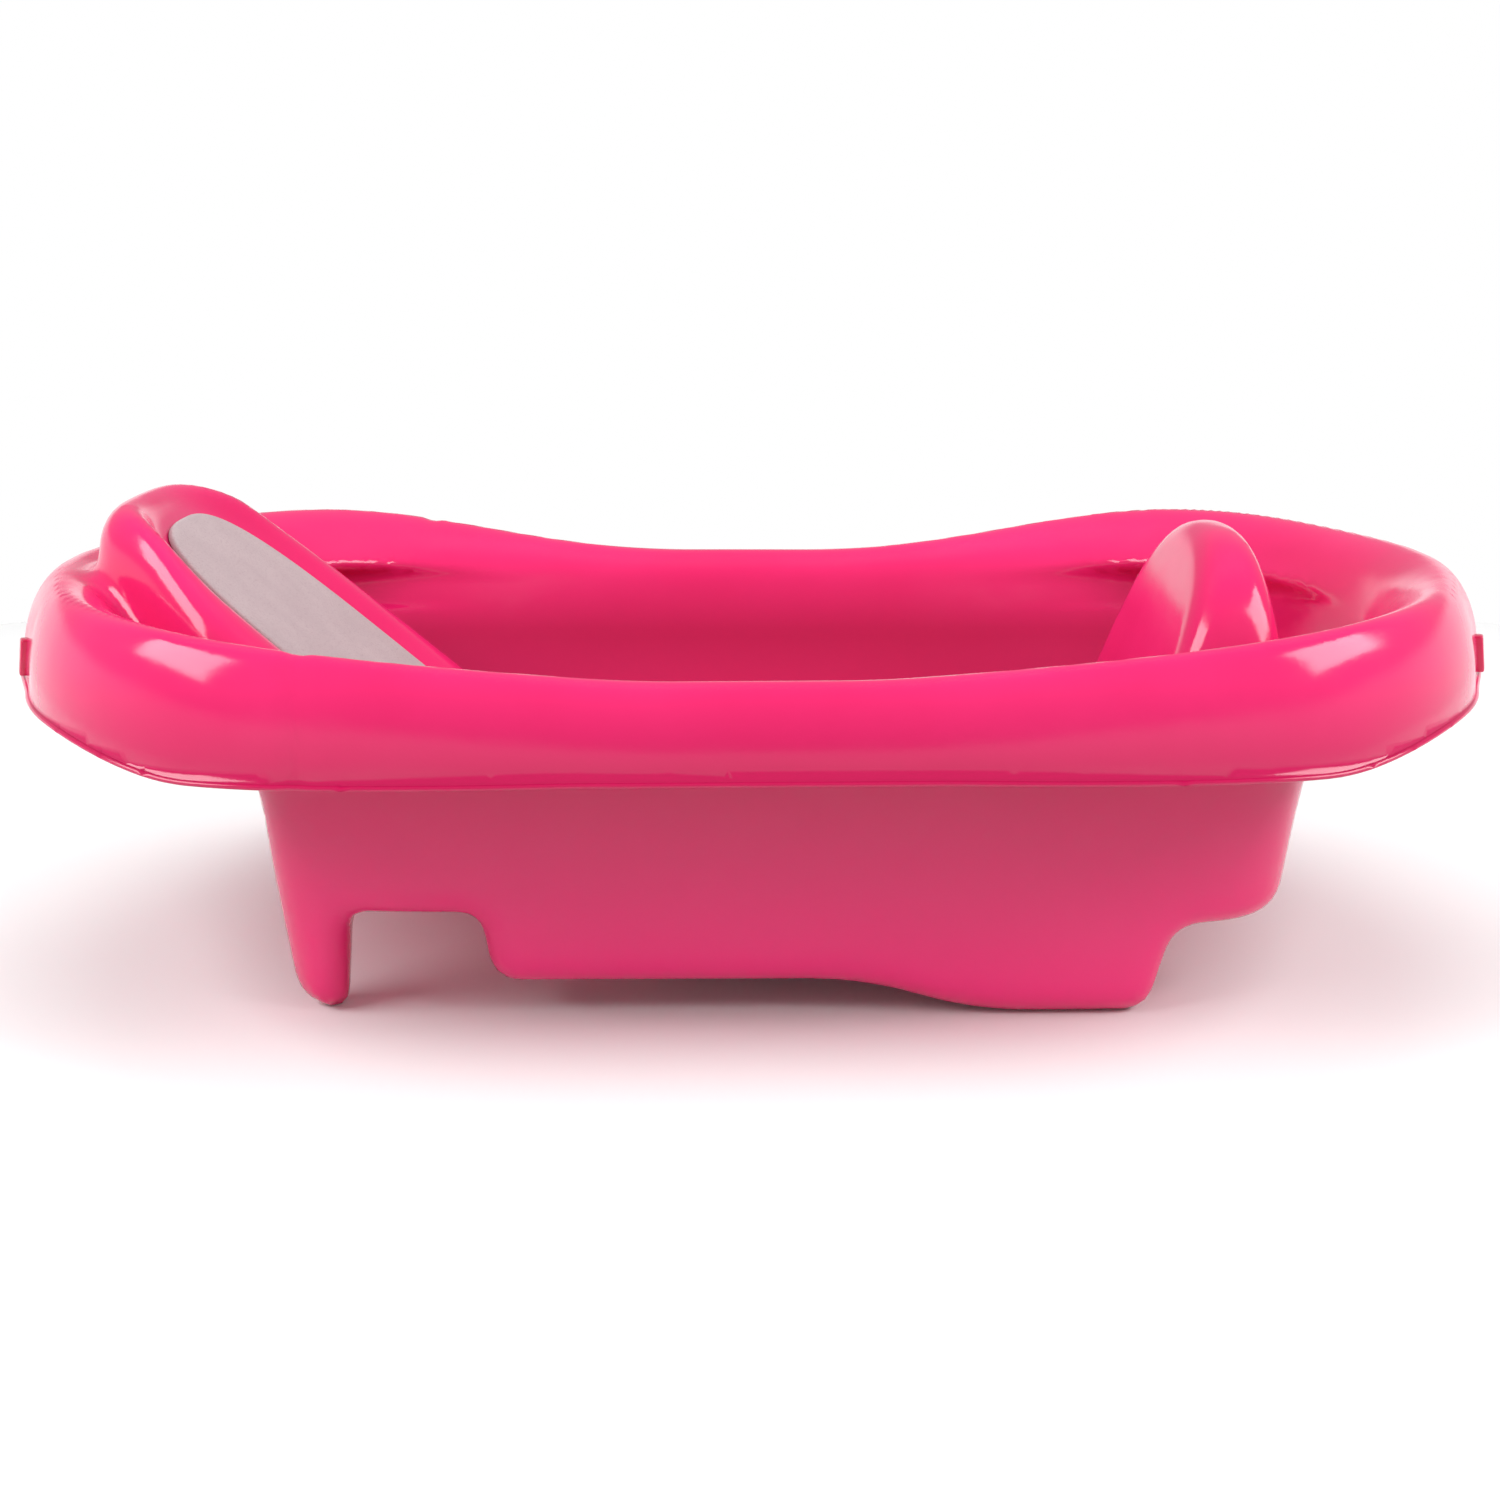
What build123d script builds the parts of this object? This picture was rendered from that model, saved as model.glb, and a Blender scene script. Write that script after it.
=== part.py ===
from build123d import *
import math
import os

os.makedirs("parts", exist_ok=True)

# ------------------------------------------------------------------ driving sizes (mm)
LIP_LENGTH = 716.0        # over the rim's lower lip, end to end
LIP_WIDTH = 474.0         # over the rim's lower lip, side to side
WALL = 3.0                # moulded wall thickness, the same everywhere

CREST_HEIGHT = 167.0      # rim crest above the ground, at mid length
CREST_RISE = 26.0         # how much higher the crest stands at the two ends
RIM_DEPTH = 41.0          # crest to lower lip, at mid length
LIP_RISE = 11.0           # how much higher the lip stands at the two ends
RIM_WIDTH_SIDE = 27.0     # lip to crest in plan, at the sides
RIM_WIDTH_END = 23.0      # lip to crest in plan, at the ends

OVERHANG_INFANT = 126.0   # lip to the lower body's end wall, infant end
OVERHANG_TODDLER = 98.0   # lip to the lower body's end wall, toddler end
OVERHANG_SIDE = 85.0      # lip to the lower body's side wall
BODY_DRAFT = 6.0          # lean of the lower body above and below its middle
SHELF_HEIGHT = 132.0      # where the bowl meets the lower body

LEG_LENGTH = 51.0         # infant end wall to the arch
ARCH_LENGTH = 65.0        # arch between the legs and the seat
ARCH_HEIGHT = 49.0
SEAT_HEIGHT = 16.0        # infant seat underside above the ground
SLOPE_RUN = 46.0          # slope from the seat down to the well
WELL_LENGTH = 70.0        # flat floor of the toddler well
WELL_BEHIND = 46.0        # end of the well to the top of the toddler backrest
STEP_RUN = 14.0
STEP_HEIGHT = 41.0        # toddler end underside above the ground

BACKREST_TILT = 40.0      # infant backrest from level
BACKREST_TOP = 225.0
BACKREST_HEAD = 16.0      # flat top of the infant backrest, along the tub
BACKREST_INSET = 13.0     # rim crest to the back of the infant backrest
BACKREST_WIDTH = 212.0
BACKREST_DRAFT = 1.5

TODDLER_TOP = 207.0
TODDLER_INSET = 40.0      # lower body's end wall to the front of the backrest's top
TODDLER_LEAN = 20.5       # toddler backrest from upright
TODDLER_WIDTH = 184.0
TODDLER_THICK = 26.0

HOOK_WIDTH = 9.0
HOOK_HEIGHT = 17.0
HOOK_PROUD = 4.0
HOOK_SPACING = 75.0
HOOK_FOOT = 1.5           # lip to the hook's lower end
HOOK_ROOT = 8.0           # how far the hook runs back into the rim wall

PAD_WIDTH = 162.0
PAD_THICK = 4.0
PAD_POWER = 3.0           # how square the pad's rounded ends are
PAD_FROM_TOP = 27.0       # top of the backrest face to top of the pad
PAD_FROM_SEAT = 52.0      # foot of the pad to the seat, along the face
FILM_THICK = 0.3
FILM_INSET = 2.0          # bonding film stops this far inside the pad's edge

DRAIN_FROM_SLOPE = 18.0   # foot of the slope to the drain's centre
DRAIN_RADIUS = 13.0
DRAIN_COLLAR = 6.0        # collar ring width
COLLAR_RISE = 3.0
PLUG_CLEARANCE = 0.3      # plug body to drain hole
PLUG_SEAT_GAP = 0.2       # plug flange to collar
PLUG_INSET = 1.0          # plug flange inside the collar's edge
PLUG_FLANGE = 2.4
PLUG_FOOT = 0.8           # plug's lower end above the ground
TAB_WIDTH = 20.0
TAB_THICK = 3.2
TAB_HEIGHT = 15.0
TAB_ROOT = 0.5            # overlap that joins body, flange and tab into one moulding
EYE_RADIUS = 3.6

# ------------------------------------------------------------------ derived sizes
LIP_A = LIP_LENGTH / 2
LIP_B = LIP_WIDTH / 2
CREST_A = LIP_A - RIM_WIDTH_END
CREST_B = LIP_B - RIM_WIDTH_SIDE
LIP_HEIGHT = CREST_HEIGHT - RIM_DEPTH
BODY_LEFT = LIP_A - OVERHANG_INFANT
BODY_RIGHT = LIP_A - OVERHANG_TODDLER
BODY_B = LIP_B - OVERHANG_SIDE
LEG_INNER = -(BODY_LEFT - LEG_LENGTH)
ARCH_END = LEG_INNER + ARCH_LENGTH
TODDLER_TOP_X = BODY_RIGHT - TODDLER_INSET
WELL_END = TODDLER_TOP_X - WELL_BEHIND
WELL_START = WELL_END - WELL_LENGTH
SLOPE_START = WELL_START - SLOPE_RUN
BACKREST_BACK_X = -(CREST_A - BACKREST_INSET)
BACKREST_TOP_X = BACKREST_BACK_X + BACKREST_HEAD
FACE_LENGTH = (BACKREST_TOP - SEAT_HEIGHT - WALL) / math.sin(math.radians(BACKREST_TILT))
PAD_LENGTH = FACE_LENGTH - PAD_FROM_TOP - PAD_FROM_SEAT
DRAIN_X = WELL_START + DRAIN_FROM_SLOPE
SKY = 420.0
DEEP = -40.0
FOOT_OVERRUN = 1.0        # body wall runs this far past the ground before it is trimmed
FAR = LIP_LENGTH
SECTIONS = 24
PLAN_POWER = 2.9
BODY_POWER = 5.0


def radius_at(angle, left, right, half_width, power):
    """Plan radius of a blunt oval whose two ends may differ in reach."""
    reach = right if math.cos(angle) >= 0 else left
    c = abs(math.cos(angle)) / reach
    s = abs(math.sin(angle)) / half_width
    return (c ** power + s ** power) ** (-1 / power)


def wall_path(angle):
    """Outer skin of the rim, bowl and lower body in one upright section."""
    lip_r = radius_at(angle, LIP_A, LIP_A, LIP_B, PLAN_POWER)
    crest_r = radius_at(angle, CREST_A, CREST_A, CREST_B, PLAN_POWER)
    end = min(1.0, abs(crest_r * math.cos(angle)) / CREST_A)
    crest_z = CREST_HEIGHT + CREST_RISE * math.sin(min(1.0, end / 0.84) * math.pi / 2) ** 2
    lip_z = LIP_HEIGHT + LIP_RISE * end ** 6
    top_r = radius_at(angle, BODY_LEFT + BODY_DRAFT, BODY_RIGHT + BODY_DRAFT,
                      BODY_B + BODY_DRAFT, BODY_POWER)
    foot_r = radius_at(angle, BODY_LEFT - BODY_DRAFT, BODY_RIGHT - BODY_DRAFT,
                       BODY_B - BODY_DRAFT, BODY_POWER)
    roll = lip_r - crest_r
    depth = crest_z - lip_z
    lean = (top_r - foot_r) / SHELF_HEIGHT
    points = []
    for step in range(6):
        t = step / 5 * math.pi / 2
        points.append((crest_r + roll * math.cos(t), lip_z + depth * math.sin(t)))
    inner = crest_r - 10
    points.append((inner, crest_z - 6))
    gap = inner - top_r
    fall = crest_z - 6 - SHELF_HEIGHT
    points.append((inner - 0.14 * gap, crest_z - 6 - 0.38 * fall))
    points.append((inner - 0.5 * gap, crest_z - 6 - 0.76 * fall))
    points.append((inner - 0.86 * gap, SHELF_HEIGHT))
    points.append((top_r + 0.02 * gap, SHELF_HEIGHT - 8))
    for part in (0.78, 0.4, 0.1):
        points.append((foot_r + lean * SHELF_HEIGHT * part, SHELF_HEIGHT * part))
    points.append((foot_r - lean * FOOT_OVERRUN, -FOOT_OVERRUN))
    return points


def offset_path(points, distance):
    """The same path moved sideways, towards the underside of the moulding."""
    moved = []
    for i, (r, z) in enumerate(points):
        before = points[max(0, i - 1)]
        after = points[min(len(points) - 1, i + 1)]
        dr = after[0] - before[0]
        dz = after[1] - before[1]
        size = math.hypot(dr, dz)
        moved.append((r - distance * dz / size, z + distance * dr / size))
    return moved


def at(angle, point):
    return Vector(point[0] * math.cos(angle), point[0] * math.sin(angle), point[1])


def ring_loft(section_wire):
    """Carry an upright section once round the plan, as two fused halves."""
    halves = []
    for start in (-math.pi / 2, math.pi / 2):
        angles = [start + math.pi * i / SECTIONS for i in range(SECTIONS + 1)]
        halves.append(Solid.make_loft([section_wire(a) for a in angles]))
    return Part() + halves


def thin_section(angle):
    outer = wall_path(angle)
    inner = offset_path(outer, WALL)
    inner[0] = (inner[0][0], outer[0][1])
    a = [at(angle, p) for p in outer]
    b = [at(angle, p) for p in inner]
    edges = [
        Edge.make_spline(a),
        Edge.make_line(a[-1], b[-1]),
        Edge.make_spline(b[::-1]),
        Edge.make_line(b[0], a[0]),
    ]
    return Wire(edges)


def outside_section(angle):
    middle = offset_path(wall_path(angle), WALL / 2)[6:]
    a = [at(angle, p) for p in middle]
    corners = [
        at(angle, (FAR, middle[-1][1])),
        at(angle, (FAR, SKY)),
        at(angle, (middle[0][0], SKY)),
    ]
    edges = [
        Edge.make_spline(a),
        Edge.make_line(a[-1], corners[0]),
        Edge.make_line(corners[0], corners[1]),
        Edge.make_line(corners[1], corners[2]),
        Edge.make_line(corners[2], a[0]),
    ]
    return Wire(edges)


def side_prism(face_xz, half_width):
    """Extrude a side-view face across the tub."""
    return extrude(Plane.XZ * face_xz, amount=half_width, both=True)


UNDERSIDE = [
    (-FAR, 0),
    (LEG_INNER, 0),
    (LEG_INNER + 3, ARCH_HEIGHT),
    (ARCH_END - 4, ARCH_HEIGHT),
    (ARCH_END, SEAT_HEIGHT),
    (SLOPE_START, SEAT_HEIGHT),
    (WELL_START, 0),
    (WELL_END, 0),
    (WELL_END + STEP_RUN, STEP_HEIGHT),
    (FAR, STEP_HEIGHT),
]


def below_face(grow):
    line = FilletPolyline(*UNDERSIDE, radius=9)
    close = Polyline(UNDERSIDE[-1], (FAR, DEEP), (-FAR, DEEP), UNDERSIDE[0])
    face = make_face([line, close])
    if grow:
        face = offset(face, amount=grow, kind=Kind.ARC)
    return face


def backrest(inset):
    """Infant backrest hump: a tilted wedge cut to an arch in plan."""
    slope = math.tan(math.radians(BACKREST_TILT))
    reach = (BACKREST_TOP - DEEP) / slope
    side = Polyline(
        (BACKREST_BACK_X - 6, DEEP),
        (BACKREST_BACK_X, BACKREST_TOP),
        (BACKREST_TOP_X, BACKREST_TOP),
        (BACKREST_TOP_X + reach, DEEP),
        close=True,
    )
    side_face = offset(make_face(side), amount=-inset) if inset else make_face(side)
    wedge = side_prism(side_face, BACKREST_WIDTH)
    height = BACKREST_TOP - DEEP
    flare = height * math.tan(math.radians(BACKREST_DRAFT))
    length = reach + BACKREST_TOP_X - BACKREST_BACK_X
    plan = Pos(BACKREST_BACK_X - flare + length / 2 + inset / 2, 0, DEEP) * Rectangle(
        length - inset, BACKREST_WIDTH + 2 * flare - 2 * inset)
    corners = plan.vertices().sort_by(Axis.X)[:2]
    plan = fillet(corners, BACKREST_WIDTH * 0.38 - inset)
    column = extrude(plan, amount=height + 20, taper=BACKREST_DRAFT)
    return wedge & column


def toddler(inset):
    """Toddler backrest hump: a leaning slab with an arched top."""
    lean = math.tan(math.radians(TODDLER_LEAN))
    top_x = TODDLER_TOP_X
    side = Polyline(
        (top_x - (TODDLER_TOP - DEEP) * lean, DEEP),
        (top_x, TODDLER_TOP),
        (top_x + TODDLER_THICK * 0.8, TODDLER_TOP),
        (top_x + TODDLER_THICK, TODDLER_TOP * 0.78),
        (top_x + TODDLER_THICK * 1.5, SHELF_HEIGHT),
        (top_x + TODDLER_THICK * 1.5, DEEP),
        close=True,
    )
    side_face = offset(make_face(side), amount=-inset) if inset else make_face(side)
    slab = side_prism(side_face, TODDLER_WIDTH)
    half = TODDLER_WIDTH / 2 - inset
    spring = TODDLER_TOP - TODDLER_WIDTH * 0.42
    arch = Spline(
        (-half, spring), (0, TODDLER_TOP - inset), (half, spring),
        tangents=[(0.12, 1), (-0.12, 1)], tangent_scalars=[1.35, -1.35])
    foot = half + (spring - DEEP) * 0.12
    legs = Polyline((half, spring), (foot, DEEP), (-foot, DEEP), (-half, spring))
    outline = make_face([arch, legs])
    return slab & extrude(Plane.YZ * outline, amount=FAR)


# ------------------------------------------------------------------ tub shell
outside = ring_loft(outside_section)
wall = ring_loft(thin_section)
below = side_prism(below_face(0), FAR)
indoors = Pos(0, 0, SKY / 2) * Box(LIP_LENGTH, LIP_WIDTH, SKY)
floor_plate = (side_prism(below_face(WALL), LIP_B) & indoors) - below - outside

infant_hump = backrest(0) - outside - below
toddler_hump = toddler(0) - outside - below

shell = (wall - below) + floor_plate + infant_hump + toddler_hump
shell = shell - backrest(WALL) - toddler(WALL)

drain_top = WALL + COLLAR_RISE
collar = Pos(DRAIN_X, 0, drain_top / 2) * Cylinder(DRAIN_RADIUS + DRAIN_COLLAR, drain_top)
drain_bore = Pos(DRAIN_X, 0, 0) * Cylinder(DRAIN_RADIUS, 4 * drain_top)
shell = shell + collar - drain_bore

hook_z = LIP_HEIGHT + LIP_RISE + HOOK_FOOT + HOOK_HEIGHT / 2
hook_depth = HOOK_PROUD + HOOK_ROOT
for end in (-1, 1):
    for row in (-1, 0, 1):
        hook = Box(hook_depth, HOOK_WIDTH, HOOK_HEIGHT)
        hook_x = end * (LIP_A + HOOK_PROUD - hook_depth / 2)
        shell = shell + Pos(hook_x, row * HOOK_SPACING, hook_z) * hook

# ------------------------------------------------------------------ backrest pad and its film
slope_frame = Plane(
    origin=(BACKREST_TOP_X, 0, BACKREST_TOP),
    x_dir=(math.cos(math.radians(BACKREST_TILT)), 0, -math.sin(math.radians(BACKREST_TILT))),
    z_dir=(math.sin(math.radians(BACKREST_TILT)), 0, math.cos(math.radians(BACKREST_TILT))),
)


def pad_outline(inset):
    """Long oval with blunt ends, in the plane of the backrest face."""
    half_l = PAD_LENGTH / 2 - inset
    half_w = PAD_WIDTH / 2 - inset
    points = []
    for i in range(48):
        t = 2 * math.pi * i / 48
        c, s = math.cos(t), math.sin(t)
        power = 2 / PAD_POWER
        points.append((half_l * math.copysign(abs(c) ** power, c),
                       half_w * math.copysign(abs(s) ** power, s)))
    return make_face(Spline(*points, periodic=True))


pad_centre = Pos(PAD_FROM_TOP + PAD_LENGTH / 2, 0, 0)
film = extrude(slope_frame * pad_centre * pad_outline(FILM_INSET), amount=FILM_THICK)
pad = extrude(slope_frame * (Pos(0, 0, FILM_THICK) * pad_centre) * pad_outline(0),
              amount=PAD_THICK)

# ------------------------------------------------------------------ drain plug
seat_z = drain_top + PLUG_SEAT_GAP
stem_top = seat_z + TAB_ROOT
stem_middle = (PLUG_FOOT + stem_top) / 2
plug = Pos(DRAIN_X, 0, stem_middle) * Cylinder(
    DRAIN_RADIUS - PLUG_CLEARANCE, stem_top - PLUG_FOOT)
plug = plug + Pos(DRAIN_X, 0, seat_z + PLUG_FLANGE / 2) * Cylinder(
    DRAIN_RADIUS + DRAIN_COLLAR - PLUG_INSET, PLUG_FLANGE)
tab_z = seat_z + PLUG_FLANGE
tab = Pos(DRAIN_X, 0, tab_z + (TAB_HEIGHT - TAB_ROOT) / 2) * Box(
    TAB_THICK, TAB_WIDTH, TAB_HEIGHT + TAB_ROOT)
tab = fillet(tab.edges().filter_by(Axis.X).group_by(Axis.Z)[-1], TAB_WIDTH * 0.4)
eye = Pos(DRAIN_X, 0, tab_z + TAB_HEIGHT * 0.5) * Rot(0, 90, 0) * Cylinder(
    EYE_RADIUS, 3 * TAB_THICK)
plug = plug + tab - eye

# ------------------------------------------------------------------ files
pieces = {
    "tub_shell": shell,
    "backrest_pad": pad,
    "pad_film": film,
    "drain_plug": plug,
}
for name, piece in pieces.items():
    export_step(piece, os.path.join("parts", name + ".step"))
    box = piece.bounding_box()
    print(name, len(piece.solids()), piece.is_valid, round(piece.volume / 1000, 1), box.min, box.max)
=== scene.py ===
"""Baby bathtub: one glossy pink moulding, a grey foam backrest pad and a drain plug."""

import math

import bmesh
import bpy
import numpy as np
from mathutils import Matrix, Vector


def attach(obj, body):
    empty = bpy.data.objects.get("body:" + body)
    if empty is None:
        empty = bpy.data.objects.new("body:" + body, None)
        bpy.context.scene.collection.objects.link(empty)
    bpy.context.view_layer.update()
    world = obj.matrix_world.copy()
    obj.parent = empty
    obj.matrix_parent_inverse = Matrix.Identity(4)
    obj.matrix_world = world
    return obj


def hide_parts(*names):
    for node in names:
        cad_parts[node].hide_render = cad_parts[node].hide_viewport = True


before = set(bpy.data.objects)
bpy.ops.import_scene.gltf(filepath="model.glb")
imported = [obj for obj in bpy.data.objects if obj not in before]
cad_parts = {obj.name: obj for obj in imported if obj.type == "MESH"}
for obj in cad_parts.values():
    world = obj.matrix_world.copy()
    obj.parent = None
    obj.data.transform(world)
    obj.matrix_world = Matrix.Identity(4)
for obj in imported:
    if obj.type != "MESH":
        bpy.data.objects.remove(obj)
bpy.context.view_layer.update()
MM = 0.001

# ------------------------------------------------------------------ tub sizes, millimetres
WALL = 3.0
CREST_END = 328.0             # centre to the rim's crest, along the tub
CREST_SIDE = 201.0            # centre to the crest, across the middle
CREST_POWERS = (5.3, 1.62)
CREST_NOSE = 12.0             # rounds the oval off where it crosses the centre line
CREST_BULGE = 36.0            # how much wider the crest's oval is near the two ends
BULGE_SPAN = (70.0, 250.0)    # where that starts and is complete, along the tub
INFANT_WIDER = 3.0            # the infant end is this much wider than the middle
CREST_Z = 167.4
CREST_RISE = 26.0             # the crest dips at the middle and rises to both ends
CREST_RISE_SPAN = (34.0, 298.0)
RIM_WIDTH = 19.0              # crest to lip, in plan, at the four corners
RIM_WIDER_SIDE = 4.5          # more than that at the middle of each side
RIM_WIDER_END = 12.0          # and at the middle of each end
RIM_SIDE_SPAN = (190.0, 60.0)
RIM_END_SPAN = (240.0, 320.0)
RIM_END_ACROSS = (110.0, 0.0)
LIP_Z = 128.0
LIP_RISE_SIDE = 5.0           # the lip rises a little along the sides and more at the ends
LIP_SIDE_SPAN = (90.0, 240.0)
LIP_RISE_END = 11.0
LIP_END_SPAN = (230.0, 310.0)
SHELF_Z = 136.6               # above this the end walls step out under the rim
SHELF_STEP = 0.34             # the lower, the more suddenly they step out
BODY_LEFT = 223.5             # centre to the outside of the end walls, halfway up
BODY_RIGHT = 247.0
BODY_POWER_LEFT = 9.0         # how square the body's corners are in plan
BODY_POWER_RIGHT = 8.0
END_DRAFT = 9.5               # lean of the end walls above and below their middle
END_INSIDE = 9.0              # the end walls finish this far inside the crest
SIDE_FOOT = 144.0             # inside half width of the bowl at the foot
SIDE_HEAD = 192.0             # and at the crest
SIDE_LEAN = 0.48              # how much of that opening is an even slope; the rest is a flare
SIDE_OPENS = 88.0             # the bowl starts to widen towards its two ends above this
OPENS_POWER = 1.5
CREASE_X = -187.0             # the rim has a faint pinch here, on both sides
CREASE_DEPTH = 1.5
CREASE_WIDTH = 4.0

# the underside seen from the side: x, z and how far each corner is rounded back
UNDERSIDE = [
    (-700, 0, 0), (-187, 0, 8), (-184, 49, 11), (-125, 49, 10), (-119, 16, 13), (46, 16, 24),
    (100, 0, 24), (178, 0, 12), (189, 41, 13), (700, 41, 0),
]

# the infant backrest: a hump whose sloping face has a raised border round the pad
FACE_TOP = (-296.0, 216.4)    # a point on the face, x and z
FACE_TILT = math.radians(40)
PAD_CENTRE = 134.4            # the pad's middle, down the face from that point
PAD_HALF = (120.7, 81.0)
PAD_POWER = 3.0
BORDER = 8.5
BORDER_HEAD = 4.0             # the border is this much higher at its head
BORDER_HEAD_SPAN = (62.0, 0.0)
BORDER_SPAN = (1.02, 1.27)    # where it rises, in pad outlines
INFANT_TOP = 228.0
INFANT_CROWN = 0.0008
INFANT_X = -100.0
INFANT_REACH = (214.0, 0.04, 200.0)    # reach, how it grows downwards, and from what height
INFANT_HALF = (110.0, 0.03, 160.0)
INFANT_HEAD_WIDER = 22.0
INFANT_HEAD_SPAN = (-300.0, -240.0)
INFANT_HEAD_RISE = (50.0, 115.0)
INFANT_POWERS = (3.6, 3.6)

# the toddler backrest: a leaning slab with an arched top
SLAB_LEAN = math.radians(20.5)
SLAB_FRONT = (219.0, 207.0)   # points on its two faces, x and z
SLAB_BACK = (244.0, 200.0)
SLAB_BACK_NORMAL = (0.97, 0.1)
SLAB_HALF = (89.0, 0.10, 150.0)
ARCH_Z = 122.0
ARCH_HEIGHT = 86.0
ARCH_POWER = 2.5

# fillets between the parts of the moulding
RIM_FILLET = 17.0
FLOOR_FILLET = 13.0
INFANT_FILLET = 13.0
TODDLER_FILLET = 14.0
INFANT_EDGES = (14.0, 26.0)
TODDLER_EDGES = (18.0, 15.0)


# ------------------------------------------------------------------ field helpers
def smin(a, b, k):
    """Smooth minimum: joins two solids with a fillet about k wide."""
    h = np.maximum(k - np.abs(a - b), 0.0) / k
    return np.minimum(a, b) - h * h * k * 0.25


def smax(a, b, k):
    return -smin(-a, -b, k)


def smooth(low, high, value):
    t = np.clip((value - low) / (high - low), 0.0, 1.0)
    return t * t * (3 - 2 * t)


def bulge(x):
    return CREST_BULGE * smooth(*BULGE_SPAN, np.abs(x))


def oval_distance(x, y, reach, half, powers):
    """Nearly true distance to a blunt oval in plan; negative inside."""
    p, q = powers
    ax = np.maximum(np.abs(x) / reach, 1e-4)
    ay = (np.hypot(y, CREST_NOSE) - CREST_NOSE) / (np.hypot(half, CREST_NOSE) - CREST_NOSE) + 1e-4
    a, b = ax ** p, ay ** q
    gx = p * a / ax / reach
    gy = q * b / ay / half
    mean = (p * a + q * b) / (a + b)
    s = (a + b) ** (1 / mean)
    size = np.sqrt(gx * gx + gy * gy) * s / (a + b) / mean
    return (s - 1) / np.maximum(size, 1e-6)


def wider(x):
    """The infant end is a little wider than the middle, and the other end narrower."""
    return -INFANT_WIDER * np.clip(x / 200, -1, 1)


def crest_height(x):
    return CREST_Z + CREST_RISE * smooth(*CREST_RISE_SPAN, np.abs(x))


def lip_height(x):
    reach = np.abs(x)
    return (LIP_Z + LIP_RISE_SIDE * smooth(*LIP_SIDE_SPAN, reach)
            + LIP_RISE_END * smooth(*LIP_END_SPAN, reach))


def crest_plan(x, y):
    """Distance outside the rim's crest, in plan."""
    half = CREST_SIDE + bulge(x) + wider(x)
    return oval_distance(x, y, CREST_END, half, CREST_POWERS)


def rim_width(x, y):
    side = smooth(*RIM_SIDE_SPAN, np.abs(x))
    end = smooth(*RIM_END_SPAN, np.abs(x)) * smooth(*RIM_END_ACROSS, np.abs(y))
    return RIM_WIDTH + RIM_WIDER_SIDE * side + RIM_WIDER_END * end


def rounded_steps(points, pieces=7):
    """Polyline with each corner turned into a short curve."""
    result = [points[0][:2]]
    for before, here, after in zip(points, points[1:], points[2:]):
        cut = here[2]
        corner = np.array(here[:2], float)
        a = np.array(before[:2], float) - corner
        b = np.array(after[:2], float) - corner
        la, lb = np.linalg.norm(a), np.linalg.norm(b)
        for i in range(pieces + 1):
            t = i / pieces
            p = corner + a * (min(cut, la * 0.48) / la * (1 - t) ** 2)
            result.append(tuple(p + b * (min(cut, lb * 0.48) / lb * t ** 2)))
    result.append(points[-1][:2])
    return result


FLOOR_LINE = rounded_steps(UNDERSIDE)


def floor_distance(x, z):
    """Distance above the tub's inside floor; negative in the plastic."""
    best = np.full(np.broadcast(x, z).shape, 1e9)
    height = np.full(best.shape, -1e9)
    for (x0, z0), (x1, z1) in zip(FLOOR_LINE, FLOOR_LINE[1:]):
        dx, dz = x1 - x0, z1 - z0
        length = dx * dx + dz * dz
        t = np.clip(((x - x0) * dx + (z - z0) * dz) / length, 0, 1)
        px, pz = x - x0 - t * dx, z - z0 - t * dz
        best = np.minimum(best, px * px + pz * pz)
        span = (x >= x0) & (x < x1)
        height = np.where(span, z0 + dz * (x - x0) / dx, height)
    sign = np.where(z > height, 1.0, -1.0)
    return sign * np.sqrt(best) - WALL


# ------------------------------------------------------------------ the moulding's top skin
def rim_block(x, y, z):
    """Everything under the rim's rounded outer face."""
    crest = crest_plan(x, y)
    top = crest_height(x)
    depth = top - lip_height(x)
    width = rim_width(x, y)
    u = np.maximum(crest, 0.0) / width
    v = np.maximum(z - (top - depth), 0.0) / depth
    e = np.maximum(np.sqrt(u * u + v * v), 1e-4)
    slope = np.sqrt((u / width) ** 2 + (v / depth) ** 2) / e
    pinch = CREASE_DEPTH * np.exp(-((x - CREASE_X) / CREASE_WIDTH) ** 2)
    return (e - 1) / np.maximum(slope, 1e-4) + pinch


def bowl(x, y, z):
    """Inside of the bowl and the lower body, before the floor and backrests."""
    top = crest_height(x)
    t = np.clip((z - SHELF_Z) / (top - SHELF_Z), 0.0, 1.15)
    stepped = t ** SHELF_STEP
    low = np.clip(z / SHELF_Z, -0.3, 1.0)
    draft = END_DRAFT * (2 * low - 1)
    reach_low = np.where(x < 0, BODY_LEFT, BODY_RIGHT) + draft - WALL
    reach = reach_low + (CREST_END - END_INSIDE - reach_low) * stepped
    rise = np.clip(z / top, 0.0, 1.15)
    side = SIDE_FOOT + (SIDE_HEAD - SIDE_FOOT) * (SIDE_LEAN * rise + (1 - SIDE_LEAN) * rise ** 4)
    opens = np.clip((z - SIDE_OPENS) / (top - SIDE_OPENS), 0.0, 1.1) ** OPENS_POWER
    half = side + (bulge(x) + wider(x)) * opens
    power = np.where(x < 0, BODY_POWER_LEFT, BODY_POWER_RIGHT)
    morph = smooth(0.0, 0.5, t)
    powers = [power + (p - power) * morph for p in CREST_POWERS]
    steepness = np.where(t > 0, 0.78, 0.95)
    return oval_distance(x, y, reach, half, powers) * steepness


def grows_down(size, z):
    start, rate, height = size
    return start + rate * (height - z)


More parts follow.
